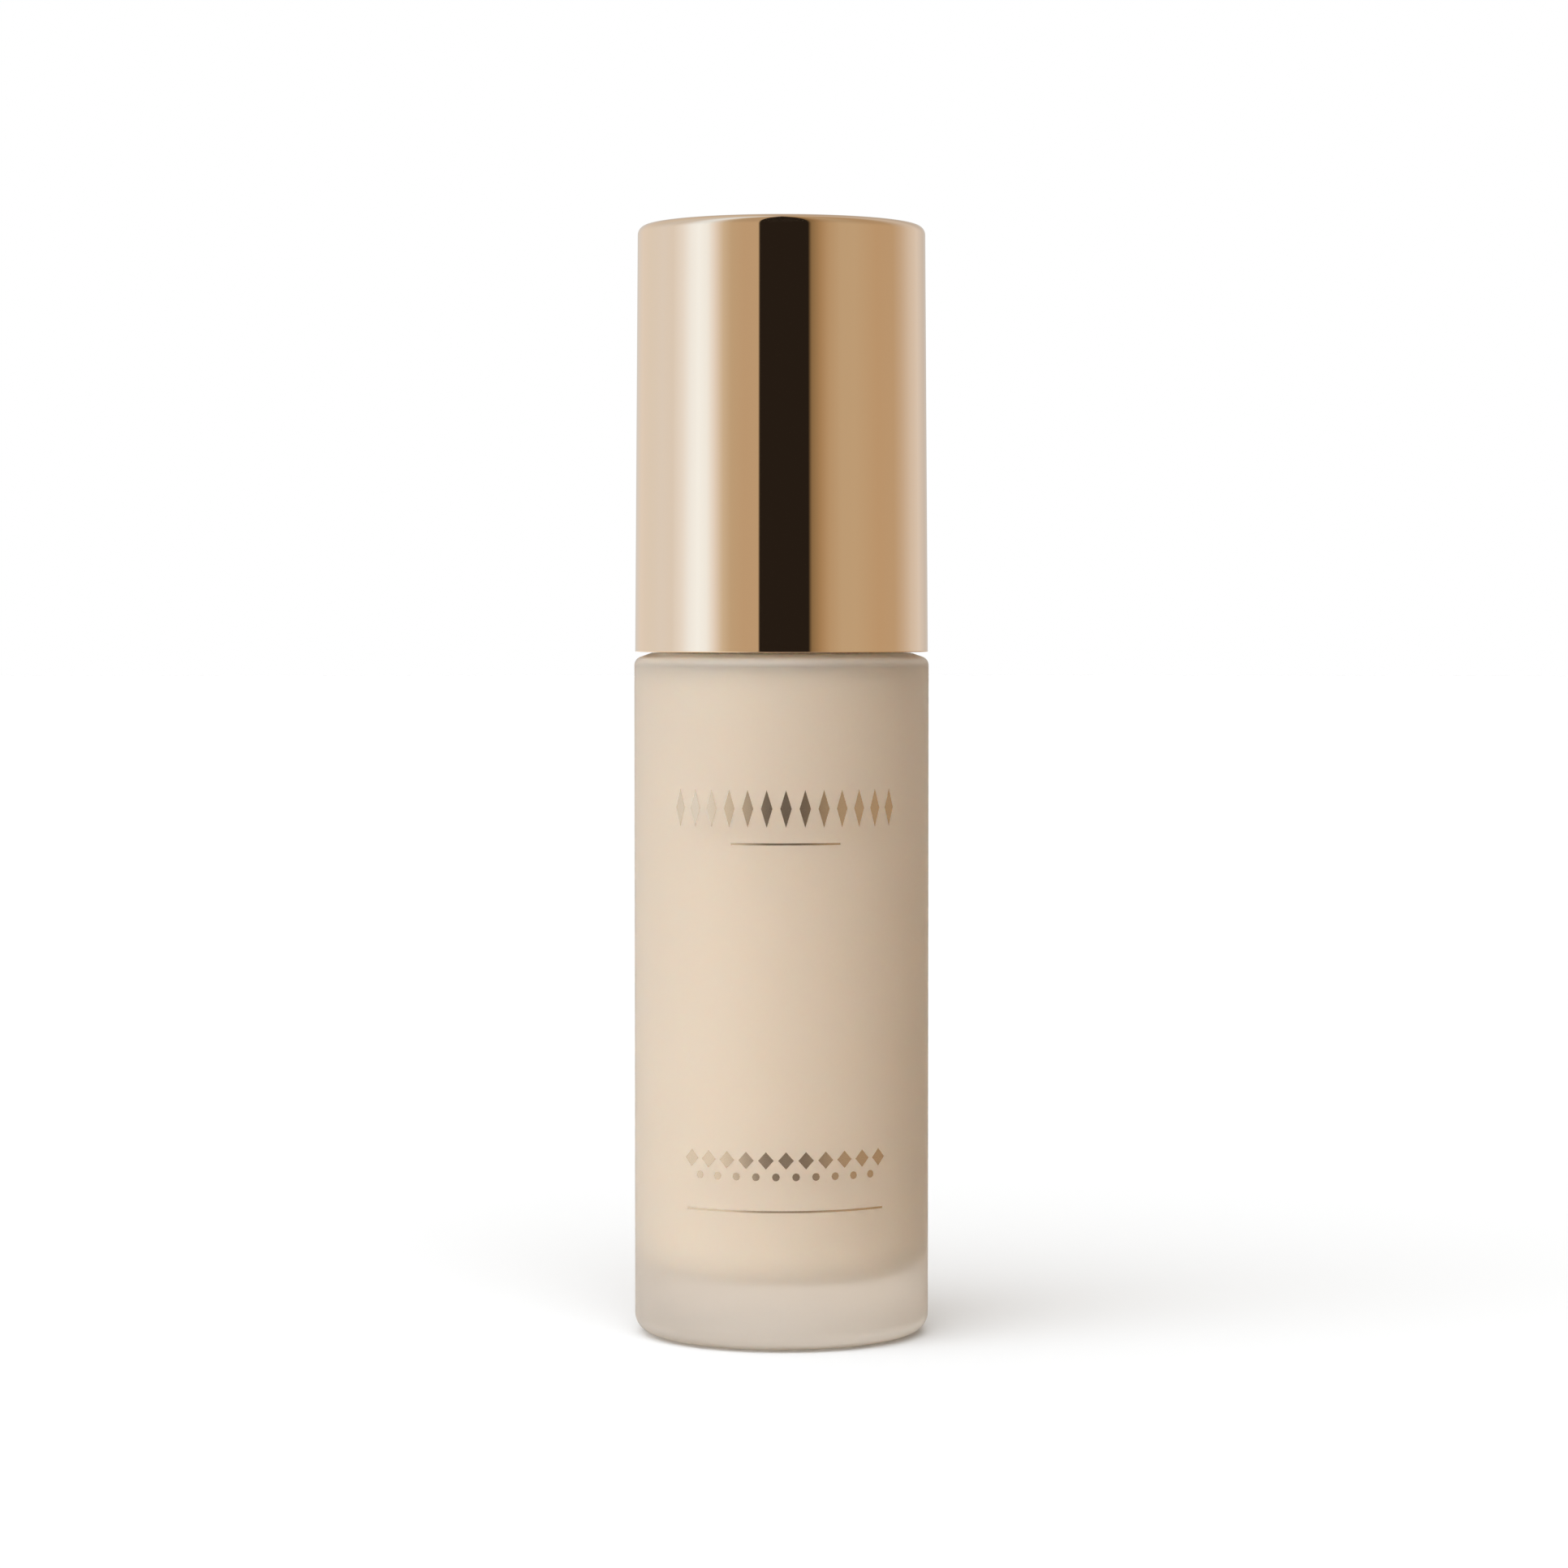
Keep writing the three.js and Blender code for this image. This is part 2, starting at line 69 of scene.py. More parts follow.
def rounded(corners, closed=False):
    """An outline through (radius, height, fillet) corners, with an arc at each fillet."""
    points = []
    last = len(corners) - 1
    for i, (r, z, fillet) in enumerate(corners):
        here = Vector((r, z))
        if fillet == 0 or (not closed and i in (0, last)):
            points.append(here)
            continue
        back = (Vector(corners[i - 1][:2]) - here).normalized()
        ahead = (Vector(corners[(i + 1) % len(corners)][:2]) - here).normalized()
        half = back.angle(ahead) / 2
        centre = here + (back + ahead).normalized() * (fillet / math.sin(half))
        start = here + back * (fillet / math.tan(half)) - centre
        sweep = math.pi - 2 * half
        if back.x * ahead.y - back.y * ahead.x > 0:
            sweep = -sweep
        steps = max(3, math.ceil(abs(sweep) / ARC_STEP))
        for k in range(steps + 1):
            turn = sweep * k / steps
            points.append(centre + Vector((
                start.x * math.cos(turn) - start.y * math.sin(turn),
                start.x * math.sin(turn) + start.y * math.cos(turn),
            )))
    return with_stays(points, closed)


def with_stays(points, closed):
    """The outline with a point close to each end of every long straight run, to shade it flat."""
    long_run = 0.6
    stay = 0.06
    kept = []
    for i, point in enumerate(points):
        kept.append(point)
        if i == len(points) - 1 and not closed:
            break
        run = points[(i + 1) % len(points)] - point
        if run.length > long_run:
            kept.append(point + run.normalized() * stay)
            kept.append(point + run - run.normalized() * stay)
    return kept


def mesh_object(name, work):
    """A finished bmesh as an object with smooth faces and crisp edges."""
    bmesh.ops.recalc_face_normals(work, faces=work.faces)
    mesh = bpy.data.meshes.new(name)
    work.to_mesh(mesh)
    work.free()
    mesh.shade_smooth()
    mesh.set_sharp_from_angle(angle=CREASE)
    made = bpy.data.objects.new(name, mesh)
    bpy.context.scene.collection.objects.link(made)
    return made


def turned(name, outline, closed=False, segments=96):
    """A piece turned about +Z from an outline in millimetres. Open outlines meet the axis."""
    work = bmesh.new()
    rings = []
    for r, z in outline:
        if r < 1e-6:
            rings.append([work.verts.new((0, 0, z * MM))])
            continue
        ring = []
        for k in range(segments):
            angle = 2 * math.pi * k / segments
            ring.append(work.verts.new((r * MM * math.cos(angle), r * MM * math.sin(angle), z * MM)))
        rings.append(ring)
    pairs = list(zip(rings, rings[1:]))
    if closed:
        pairs.append((rings[-1], rings[0]))
    for lower, upper in pairs:
        for k in range(segments):
            n = (k + 1) % segments
            if len(lower) == 1 and len(upper) == 1:
                continue
            if len(lower) == 1:
                work.faces.new((lower[0], upper[n], upper[k]))
            elif len(upper) == 1:
                work.faces.new((lower[k], lower[n], upper[0]))
            else:
                work.faces.new((lower[k], lower[n], upper[n], upper[k]))
    return mesh_object(name, work)


def wound(name, reach, low, pitch, turns, bar, fade=0.0, closed_turns=0):
    """A round bar wound right-handed about +Z, in millimetres. Its ends fade or lie closed."""
    steps_per_turn = 56
    sides = 12
    closed_pitch = 2.1 * bar
    faded_size = 0.12
    open_turns = turns - 2 * closed_turns
    open_pitch = (pitch * turns - 2 * closed_turns * closed_pitch) / open_turns
    work = bmesh.new()
    steps = round(steps_per_turn * turns)
    lean = math.atan2(pitch, 2 * math.pi * reach)
    rings = []
    for i in range(steps + 1):
        done = turns * i / steps
        opened = min(max(done - closed_turns, 0), open_turns)
        middle = low + open_pitch * opened + closed_pitch * (done - opened)
        angle = 2 * math.pi * done
        share = 1.0 if fade == 0 else min(1.0, min(done, turns - done) / fade)
        size = bar * max(faded_size, math.sin(share * math.pi / 2))
        ring = []
        for k in range(sides):
            around = 2 * math.pi * k / sides
            out, up = size * math.cos(around), size * math.sin(around)
            r = (reach + out) * MM
            along = -up * math.sin(lean) * MM
            ring.append(work.verts.new((
                r * math.cos(angle) - along * math.sin(angle),
                r * math.sin(angle) + along * math.cos(angle),
                (middle + up * math.cos(lean)) * MM,
            )))
        rings.append(ring)
    for first, second in zip(rings, rings[1:]):
        for k in range(sides):
            n = (k + 1) % sides
            work.faces.new((first[k], first[n], second[n], second[k]))
    work.faces.new(rings[0])
    work.faces.new(rings[-1])
    return mesh_object(name, work)


def combined(base, tool, operation):
    """The base joined with the tool, or cut by it."""
    change = base.modifiers.new("shape", "BOOLEAN")
    change.object = tool
    change.operation = operation
    change.solver = "EXACT"
    bpy.context.view_layer.update()
    shaped = base.evaluated_get(bpy.context.evaluated_depsgraph_get())
    mesh = bpy.data.meshes.new_from_object(shaped)
    base.modifiers.clear()
    base.data = mesh
    mesh.set_sharp_from_angle(angle=CREASE)
    bpy.data.objects.remove(tool)


def settle(piece, body, slot, material, *nodes):
    """Puts the finish on a piece, fixes it to its body and stands it in for its frame nodes."""
    if material.name not in piece.data.materials:
        piece.data.materials.append(material)
    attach(piece, body)
    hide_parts(*nodes)


def finish(name, **sockets):
    """A new material, with constant values set on the shader's own sockets."""
    made = bpy.data.materials.new(name)
    made.use_nodes = True
    shader = made.node_tree.nodes["Principled BSDF"]
    for socket, value in sockets.items():
        shader.inputs[socket.replace("_", " ")].default_value = value
    return made, shader


def new_group(name, inputs, outputs):
    """An empty node group, with inputs given as {name: default} and outputs as {name: type}."""
    group = bpy.data.node_groups.new(name, "ShaderNodeTree")
    for label, default in inputs.items():
        kind = "NodeSocketFloat" if isinstance(default, (int, float)) else "NodeSocketColor"
        socket = group.interface.new_socket(label, in_out="INPUT", socket_type=kind)
        socket.default_value = default
    for label, kind in outputs.items():
        group.interface.new_socket(label, in_out="OUTPUT", socket_type=kind)
    return group, group.nodes.new("NodeGroupInput"), group.nodes.new("NodeGroupOutput")


def surface_in_mm(tree):
    """The piece's own coordinates, counted in millimetres."""
    where = tree.nodes.new("ShaderNodeTexCoord")
    grown = tree.nodes.new("ShaderNodeVectorMath")
    grown.operation = "SCALE"
    grown.inputs["Scale"].default_value = 1 / MM
    tree.links.new(where.outputs["Object"], grown.inputs[0])
    return grown.outputs["Vector"]


def noise_at(tree, vector, scale, detail, roughness=0.5):
    """A noise texture whose features are about 1/scale millimetres across."""
    noise = tree.nodes.new("ShaderNodeTexNoise")
    noise.inputs["Detail"].default_value = detail
    noise.inputs["Roughness"].default_value = roughness
    if isinstance(scale, (int, float)):
        noise.inputs["Scale"].default_value = scale
    else:
        tree.links.new(scale, noise.inputs["Scale"])
    tree.links.new(vector, noise.inputs["Vector"])
    return noise.outputs["Fac"]


def spread(tree, value, low, high):
    """Takes a 0 to 1 value to the range from low to high, each a number or a socket."""
    mapped = tree.nodes.new("ShaderNodeMapRange")
    for label, end in (("To Min", low), ("To Max", high)):
        if isinstance(end, (int, float)):
            mapped.inputs[label].default_value = end
        else:
            tree.links.new(end, mapped.inputs[label])
    tree.links.new(value, mapped.inputs["Value"])
    return mapped.outputs["Result"]


# The grain that etching or a mould leaves: fine pits, broad waves in the gloss and in the tone.
grain, grain_in, grain_out = new_group(
    "surface_grain",
    {
        "Tone A": (1, 1, 1, 1), "Tone B": (1, 1, 1, 1),
        "Gloss Low": 0.3, "Gloss High": 0.4, "Pits Per mm": 4.0,
    },
    {"Color": "NodeSocketColor", "Roughness": "NodeSocketFloat", "Height": "NodeSocketFloat"},
)
grain_place = surface_in_mm(grain)
broad = noise_at(grain, grain_place, 0.09, 3)
tone = grain.nodes.new("ShaderNodeMix")
tone.data_type = "RGBA"
grain.links.new(broad, tone.inputs[0])
grain.links.new(grain_in.outputs["Tone A"], tone.inputs[6])
grain.links.new(grain_in.outputs["Tone B"], tone.inputs[7])
grain.links.new(tone.outputs[2], grain_out.inputs["Color"])
cloud = noise_at(grain, grain_place, 0.5, 4)
grain.links.new(
    spread(grain, cloud, grain_in.outputs["Gloss Low"], grain_in.outputs["Gloss High"]),
    grain_out.inputs["Roughness"],
)
grain.links.new(
    noise_at(grain, grain_place, grain_in.outputs["Pits Per mm"], 2, 0.6),
    grain_out.inputs["Height"],
)


def grained(material, shader, tone_a, tone_b, gloss, pits_per_mm, depth_mm):
    """Gives a material the surface grain, with pits of the given depth."""
    tree = material.node_tree
    node = tree.nodes.new("ShaderNodeGroup")
    node.node_tree = grain
    node.inputs["Tone A"].default_value = (*tone_a, 1)
    node.inputs["Tone B"].default_value = (*tone_b, 1)
    node.inputs["Gloss Low"].default_value = gloss[0]
    node.inputs["Gloss High"].default_value = gloss[1]
    node.inputs["Pits Per mm"].default_value = pits_per_mm
    bump = tree.nodes.new("ShaderNodeBump")
    bump.inputs["Strength"].default_value = 1
    bump.inputs["Distance"].default_value = depth_mm * MM
    tree.links.new(node.outputs["Color"], shader.inputs["Base Color"])
    tree.links.new(node.outputs["Roughness"], shader.inputs["Roughness"])
    tree.links.new(node.outputs["Height"], bump.inputs["Height"])
    tree.links.new(bump.outputs["Normal"], shader.inputs["Normal"])


frosted, frosted_shader = finish("frosted_glass", Transmission_Weight=0.78, IOR=1.5)
grained(
    frosted, frosted_shader, (0.965, 0.9, 0.82), (0.98, 0.915, 0.84),
    gloss=(0.35, 0.42), pits_per_mm=9, depth_mm=0.004,
)
bright_glass, bright_shader = finish("bright_glass", Transmission_Weight=1.0, IOR=1.5)
grained(
    bright_glass, bright_shader, (0.99, 0.99, 0.985), (1, 1, 1),
    gloss=(0.02, 0.06), pits_per_mm=0.4, depth_mm=0.002,
)

glass_foot, neck_top, body_r = span("glass_bottle")
cap_foot, cap_top, cap_r = span("cap_outer_shell")
cap_gap = 0.1
shoulder_drop = 0.7
shoulder_wall = 1.2
land = cap_foot - cap_gap
shoulder = land - shoulder_drop
ceiling = land - shoulder_wall
land_r = 14.5
recess_r = 11
recess = 0.7
floor_z = 6.6
cavity_r = 12.6
neck_r = 7.85
bore_r = 5.5

glass_corners = [
    (0, glass_foot + recess, 0),
    (recess_r - recess, glass_foot + recess, 0.5),
    (recess_r, glass_foot, 0.25),
    (body_r, glass_foot, 2.0),
    (body_r, shoulder, 1.0),
    (land_r, land, 0.4),
    (neck_r, land, 0.8),
    (neck_r, neck_top, 0.4),
    (bore_r, neck_top, 0.4),
    (bore_r, ceiling, 1.0),
    (cavity_r, ceiling, 0.6),
    (cavity_r, floor_z, 4.0),
    (0, floor_z, 0),
]
glass = turned("glass_bottle_body", rounded(glass_corners), segments=160)
thread_pitch = 3.175
thread_turns = 2
thread_start = 83.2
thread_fade = 0.3
neck_thread = wound(
    "neck_thread", neck_r + 0.05, thread_start, thread_pitch, thread_turns,
    bar=1.0, fade=thread_fade,
)
combined(glass, neck_thread, "UNION")
glass.data.materials.append(frosted)
glass.data.materials.append(bright_glass)
slack = 0.5
for face in glass.data.polygons:
    across = math.hypot(face.center.x, face.center.y) / MM
    height = face.center.z / MM
    in_bore = across < bore_r + slack and height > ceiling - slack
    in_cavity = across < cavity_r + slack and floor_z - slack < height < ceiling + slack
    face.material_index = 1 if in_bore or in_cavity else 0
settle(glass, "bottle", "frosted_glass", frosted, "glass_bottle")

# ---------------------------------------------------------------------------------------------
# Foundation. An opaque beige emulsion that fills the cavity and wets the glass all round, with
# room in the middle for the pump barrel and the dip tube.
# ---------------------------------------------------------------------------------------------

cream, cream_shader = finish(
    "beige_emulsion", IOR=1.4, Specular_IOR_Level=0.0,
    Subsurface_Weight=0.7, Subsurface_Radius=(1.0, 0.75, 0.55), Subsurface_Scale=0.003,
)
grained(
    cream, cream_shader, (0.885, 0.775, 0.625), (0.905, 0.795, 0.655),
    gloss=(0.35, 0.45), pits_per_mm=0.8, depth_mm=0.01,
)

tube_foot, tube_top, tube_r = span("dip_tube")
socket_foot, flange_top, flange_r = span("pump_housing")
wetting = 0.02
room = 0.3
fill_top = neck_top - 2
barrel_r = 4.9
boot_r = 3.4
boot_top = 67.1
boot_room = boot_top - 1.1
cream_corners = [
    (0, floor_z - wetting, 0),
    (cavity_r + wetting, floor_z - wetting, 4.0),
    (cavity_r + wetting, ceiling + wetting, 0.6),
    (bore_r + wetting, ceiling + wetting, 1.0),
    (bore_r + wetting, fill_top, 0.1),
    (barrel_r + room, fill_top, 0.1),
    (barrel_r + room, boot_room, 0.3),
    (boot_r + room, boot_room, 0.2),
    (boot_r + room, socket_foot - room, 0.3),
    (tube_r + room, socket_foot - room, 0.2),
    (tube_r + room, tube_foot - room, 0.3),
    (0, tube_foot - room, 0),
]
fill = turned("foundation_emulsion", rounded(cream_corners), segments=128)
settle(fill, "bottle", "foundation", cream, "foundation_fill")

# ---------------------------------------------------------------------------------------------
# Base label. A round label of white satin film, left blank. It is stuck up into the recess of
# the base, clear of the table.
# ---------------------------------------------------------------------------------------------

film, film_shader = finish("label_film", IOR=1.45)
grained(
    film, film_shader, (0.86, 0.85, 0.82), (0.9, 0.89, 0.86),
    gloss=(0.4, 0.55), pits_per_mm=6, depth_mm=0.004,
)
label_low, label_high, label_r = span("base_label")
label_corners = [
    (0, label_low, 0),
    (label_r, label_low, 0.05),
    (label_r, label_high, 0.05),
    (0, label_high, 0),
]
label = turned("base_label_film", rounded(label_corners), segments=96)
settle(label, "bottle", "label_film", film, "base_label")

# ---------------------------------------------------------------------------------------------
# Foil ornament. Gold foil pressed hot on to the frosted wall, in two plain friezes: a row of
# slim lozenges above and a row of dots and small lozenges below, each with a rule under it.
# ---------------------------------------------------------------------------------------------

foil, foil_shader = finish("gold_foil", Metallic=1.0)
grained(
    foil, foil_shader, (0.66, 0.55, 0.42), (0.74, 0.62, 0.48),
    gloss=(0.18, 0.26), pits_per_mm=5, depth_mm=0.001,
)

foil_work = bmesh.new()
foil_root = body_r - 0.03
foil_face = body_r + 0.025
thinnest = 0.012


def ribbon(middle, half_width, half_height, height_at, steps):
    """A foil patch on the wall: half_height * height_at(-1..1) tall to each side of its middle."""
    u0, v0 = middle
    skin = []
    for i in range(steps + 1):
        share = 2 * i / steps - 1
        angle = (u0 + share * half_width) / body_r
        rise = max(thinnest, half_height * height_at(share))
        column = []
        low, high = v0 - rise, v0 + rise
        for r, v in ((foil_root, low), (foil_face, low), (foil_face, high), (foil_root, high)):
            column.append(foil_work.verts.new((
                r * MM * math.sin(angle), -r * MM * math.cos(angle), v * MM)))
        skin.append(column)
    for first, second in zip(skin, skin[1:]):
        for k in range(4):
            n = (k + 1) % 4
            foil_work.faces.new((first[k], first[n], second[n], second[k]))
    foil_work.faces.new(skin[0])
    foil_work.faces.new(skin[-1])


def lozenge(share):
    """The height of a lozenge across its width."""
    return 1 - abs(share)


def disc(share):
    """The height of a dot across its width."""
    return math.sqrt(max(0.0, 1 - share * share))


def rule(share):
    """The height of a plain rule, the same all along."""
    return 1.0


frieze_middle = 0.5
rule_half = 0.11
slim_gap = 2.1
slim_half = (0.62, 2.05)
slim_z = 59.35
for i in range(-6, 7):
    ribbon((frieze_middle + slim_gap * i, slim_z), *slim_half, lozenge, 8)
upper_rule_z = 55.5
upper_rule_reach = 6.1
ribbon((frieze_middle, upper_rule_z), upper_rule_reach, rule_half, rule, 48)
small_gap = 2.2
small_half = (0.85, 0.95)
small_z = 21.0
for i in range(-5, 6):
    ribbon((frieze_middle + small_gap * i, small_z), *small_half, lozenge, 10)
dot_r = 0.42
dot_z = 19.2
for i in range(-5, 5):
    ribbon((frieze_middle + small_gap * (i + 0.5), dot_z), dot_r, dot_r, disc, 12)
lower_rule_z = 15.4
lower_rule_reach = 11.6
ribbon((frieze_middle, lower_rule_z), lower_rule_reach, rule_half, rule, 72)
ornament = mesh_object("foil_ornament", foil_work)
ornament.data.materials.append(foil)
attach(ornament, "bottle")

# ---------------------------------------------------------------------------------------------
# Pump body. A stepped barrel moulded in natural polypropylene hangs in the neck by its flange,
# on a soft gasket. A white turret snaps into its mouth and guides the stem.
# ---------------------------------------------------------------------------------------------

natural, natural_shader = finish(
    "natural_plastic", IOR=1.49, Subsurface_Weight=0.25, Subsurface_Scale=0.002)
grained(
    natural, natural_shader, (0.80, 0.81, 0.79), (0.84, 0.85, 0.83),
    gloss=(0.34, 0.46), pits_per_mm=3, depth_mm=0.004,
)
white, white_shader = finish(
    "white_plastic", IOR=1.49, Subsurface_Weight=0.15, Subsurface_Scale=0.001)
grained(
    white, white_shader, (0.84, 0.83, 0.81), (0.88, 0.87, 0.85),
    gloss=(0.3, 0.4), pits_per_mm=4, depth_mm=0.003,
)
soft, soft_shader = finish("gasket_foam", IOR=1.45)
grained(
    soft, soft_shader, (0.80, 0.79, 0.75), (0.86, 0.85, 0.81),
    gloss=(0.6, 0.75), pits_per_mm=5, depth_mm=0.02,
)

ledge = 68
socket_top = 63.2
socket_wall_r = 2.7
tube_seat_r = 1.7
port_r = 0.9
cage_r = 2
barrel_bore = 4
flange_thickness = 0.8
housing_corners = [
    (socket_wall_r, socket_foot, 0.2),
    (socket_wall_r, socket_top, 0.5),
    (boot_r, socket_top + 0.7, 0.3),
    (boot_r, boot_top, 0.3),
    (barrel_r, boot_top + 0.6, 0.4),
    (barrel_r, flange_top - flange_thickness, 0.25),
    (flange_r, flange_top - flange_thickness, 0.15),
    (flange_r, flange_top, 0.15),
    (barrel_bore, flange_top, 0.3),
    (barrel_bore, ledge, 0.2),
    (cage_r, ledge, 0.15),
    (cage_r, socket_top + 1.7, 0.1),
    (port_r, socket_top + 0.8, 0.1),
    (port_r, socket_top, 0.1),
    (tube_seat_r, socket_top, 0.1),
    (tube_seat_r, socket_foot, 0.15),
]
housing = turned("pump_barrel", rounded(housing_corners, closed=True), closed=True, segments=72)
settle(housing, "pump", "natural_plastic", natural, "pump_housing")

gasket_low, gasket_high, gasket_r = span("neck_gasket")
gasket_bore = 5.8
gasket_corners = [
    (gasket_bore, gasket_low, 0.15),
    (gasket_r, gasket_low, 0.15),
    (gasket_r, gasket_high, 0.15),
    (gasket_bore, gasket_high, 0.15),
]
gasket = turned("neck_gasket_ring", rounded(gasket_corners, closed=True), closed=True, segments=96)
settle(gasket, "pump", "gasket", soft, "neck_gasket")

retainer_foot, turret_top, retainer_r = span("stem_retainer")
retainer_z = flange_top + 0.1
retainer_plug_r = 3.9
turret_r = 4.3
stem_guide = 2.3
retainer_corners = [
    (stem_guide, retainer_foot, 0.15),
    (retainer_plug_r, retainer_foot, 0.3),
    (retainer_plug_r, retainer_z, 0.1),
    (retainer_r, retainer_z, 0.15),
    (retainer_r, retainer_z + flange_thickness, 0.15),
    (turret_r, retainer_z + flange_thickness, 0.3),
    (turret_r, turret_top, 0.5),
    (stem_guide, turret_top, 0.25),
]
retainer = turned("pump_turret", rounded(retainer_corners, closed=True), closed=True, segments=72)
settle(retainer, "pump", "white_plastic", white, "stem_retainer")

# ---------------------------------------------------------------------------------------------
# Dip tube and check ball. An extruded polyethylene tube pushed into the barrel's socket, cut
# on a slant at its foot, and a polished steel ball that drops on to the conical seat.
# ---------------------------------------------------------------------------------------------

tube_bore = 1.1
tube_slant = 0.45
tube_corners = [
    (tube_bore, tube_foot, 0.1),
    (tube_r, tube_foot, 0.15),
    (tube_r, tube_top, 0.15),
    (tube_bore, tube_top, 0.1),
]
dip = turned("dip_tube_extrusion", rounded(tube_corners, closed=True), closed=True, segments=48)
for vertex in dip.data.vertices:
    if vertex.co.z / MM < tube_foot + 1:
        vertex.co.z += (vertex.co.x / MM + tube_r) * tube_slant * MM
settle(dip, "pump", "natural_plastic", natural, "dip_tube")

steel, steel_shader = finish("polished_steel", Metallic=1.0)
grained(
    steel, steel_shader, (0.60, 0.61, 0.62), (0.66, 0.67, 0.68),
    gloss=(0.08, 0.16), pits_per_mm=6, depth_mm=0.001,
)
ball_low, ball_high, ball_r = span("check_ball")
ball_middle = (ball_low + ball_high) / 2
ball_steps = 24
half_circle = []
for step in range(ball_steps + 1):
    lift = math.pi * step / ball_steps - math.pi / 2
    half_circle.append((abs(ball_r * math.cos(lift)), ball_middle + ball_r * math.sin(lift)))
half_circle[0] = (0, ball_low)
half_circle[-1] = (0, ball_high)
ball = turned("inlet_ball", half_circle, segments=48)
settle(ball, "check_ball", "steel_ball", steel, "check_ball")

# ---------------------------------------------------------------------------------------------
# Return spring. Stainless wire wound with one closed coil at each end. It stands between the
# barrel's ledge and the underside of the stem's plug, and shortens as the button goes down.
# ---------------------------------------------------------------------------------------------

wire, wire_shader = finish("spring_wire", Metallic=1.0)
grained(
    wire, wire_shader, (0.52, 0.53, 0.55), (0.6, 0.61, 0.63),
    gloss=(0.18, 0.3), pits_per_mm=8, depth_mm=0.002,
)
spring_low, spring_high, spring_r = span("return_spring")
wire_r = 0.35
spring_turns = 6
spring_pitch = (spring_high - spring_low - 2 * wire_r) / spring_turns
spring = wound(
    "valve_spring", spring_r - wire_r, spring_low + wire_r, spring_pitch, spring_turns, wire_r,
    closed_turns=1,
)
settle(spring, "stem", "spring_steel", wire, "return_spring")
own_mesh(spring)

# ---------------------------------------------------------------------------------------------
# Stem, plug and piston. A hollow white stem with a stop collar. A plug with a cone is pressed
# into its foot, and a two-lipped piston slides on it between the cone and the collar.
# ---------------------------------------------------------------------------------------------

stem_foot, stem_top, stop_r = span("stem")
stem_r = 2
stem_bore = 1.15
stop_z = 88.6
stop_thickness = 0.9
stem_corners = [
    (stem_bore, stem_foot, 0.1),
    (stem_r, stem_foot, 0.2),
    (stem_r, stop_z, 0.15),
    (stop_r, stop_z, 0.15),
    (stop_r, stop_z + stop_thickness, 0.15),
    (stem_r, stop_z + stop_thickness, 0.15),
    (stem_r, stem_top, 0.3),
    (stem_bore, stem_top, 0.1),
]
stem = turned("hollow_stem", rounded(stem_corners, closed=True), closed=True, segments=48)
settle(stem, "stem", "white_plastic", white, "stem")

plug_low, plug_high, plug_r = span("piston_seat")
spigot_r = 2.25
seat_z = plug_low + 1.8
seat_height = 1
play = 0.1
plug_corners = [
    (0, plug_low, 0),
    (spigot_r, plug_low, 0.5),
    (spigot_r, seat_z, 0.1),
    (plug_r, seat_z, 0.2),
    (plug_r, seat_z + seat_height, 0.3),
    (stem_r, stem_foot - play, 0.2),
    (stem_bore - play, stem_foot - play, 0.1),
    (stem_bore - play, plug_high, 0.3),
    (0, plug_high, 0),
]
plug = turned("stem_plug", rounded(plug_corners), segments=48)
settle(plug, "stem", "natural_plastic", natural, "piston_seat")

piston_foot, piston_top, lip_r = span("piston")
waist_r = 3.4
relief_r = stem_r + 0.5
relief_top = piston_foot + 2.7
slide_r = stem_r + play
lip_height = 0.6
waist_end = 1.2
piston_corners = [
    (relief_r, piston_foot, 0.1),
    (lip_r, piston_foot, 0.2),
    (lip_r, piston_foot + lip_height, 0.15),
    (waist_r, piston_foot + waist_end, 0.4),
    (waist_r, piston_top - waist_end, 0.4),
    (lip_r, piston_top - lip_height, 0.15),
    (lip_r, piston_top, 0.2),
    (slide_r, piston_top, 0.1),
    (slide_r, relief_top, 0.1),
    (relief_r, relief_top, 0.1),
]
piston = turned("lipped_piston", rounded(piston_corners, closed=True), closed=True, segments=72)
settle(piston, "piston", "natural_plastic", natural, "piston")

# ---------------------------------------------------------------------------------------------
# Closure. A white polypropylene screw ring, moulded round a thread that matches the neck's. Its
# roof clamps the pump's flange on the neck.
# ---------------------------------------------------------------------------------------------

closure_foot, closure_top, closure_r = span("closure")
closure_bore = 9.2
closure_roof = 1
roof_z = closure_top - closure_roof
closure_corners = [
    (closure_bore, closure_foot, 0.2),
    (closure_r, closure_foot, 0.2),
    (closure_r, closure_top, 0.5),
    (turret_r + room, closure_top, 0.2),
    (turret_r + room, roof_z, 0.2),
    (closure_bore, roof_z, 0.3),
]
ring = turned("screw_closure", rounded(closure_corners, closed=True), closed=True, segments=96)
ring_thread = wound(
    "closure_thread", closure_bore + 0.1, thread_start - thread_pitch / 2,
    thread_pitch, thread_turns, bar=0.6, fade=thread_fade,
)
combined(ring, ring_thread, "UNION")
settle(ring, "closure", "white_plastic", white, "closure")

# ---------------------------------------------------------------------------------------------
# Collar sleeve. A drawn aluminium sleeve over the closure, polished and anodised champagne
# gold. Its rim turns in to make the well that the button sinks into.
# ---------------------------------------------------------------------------------------------

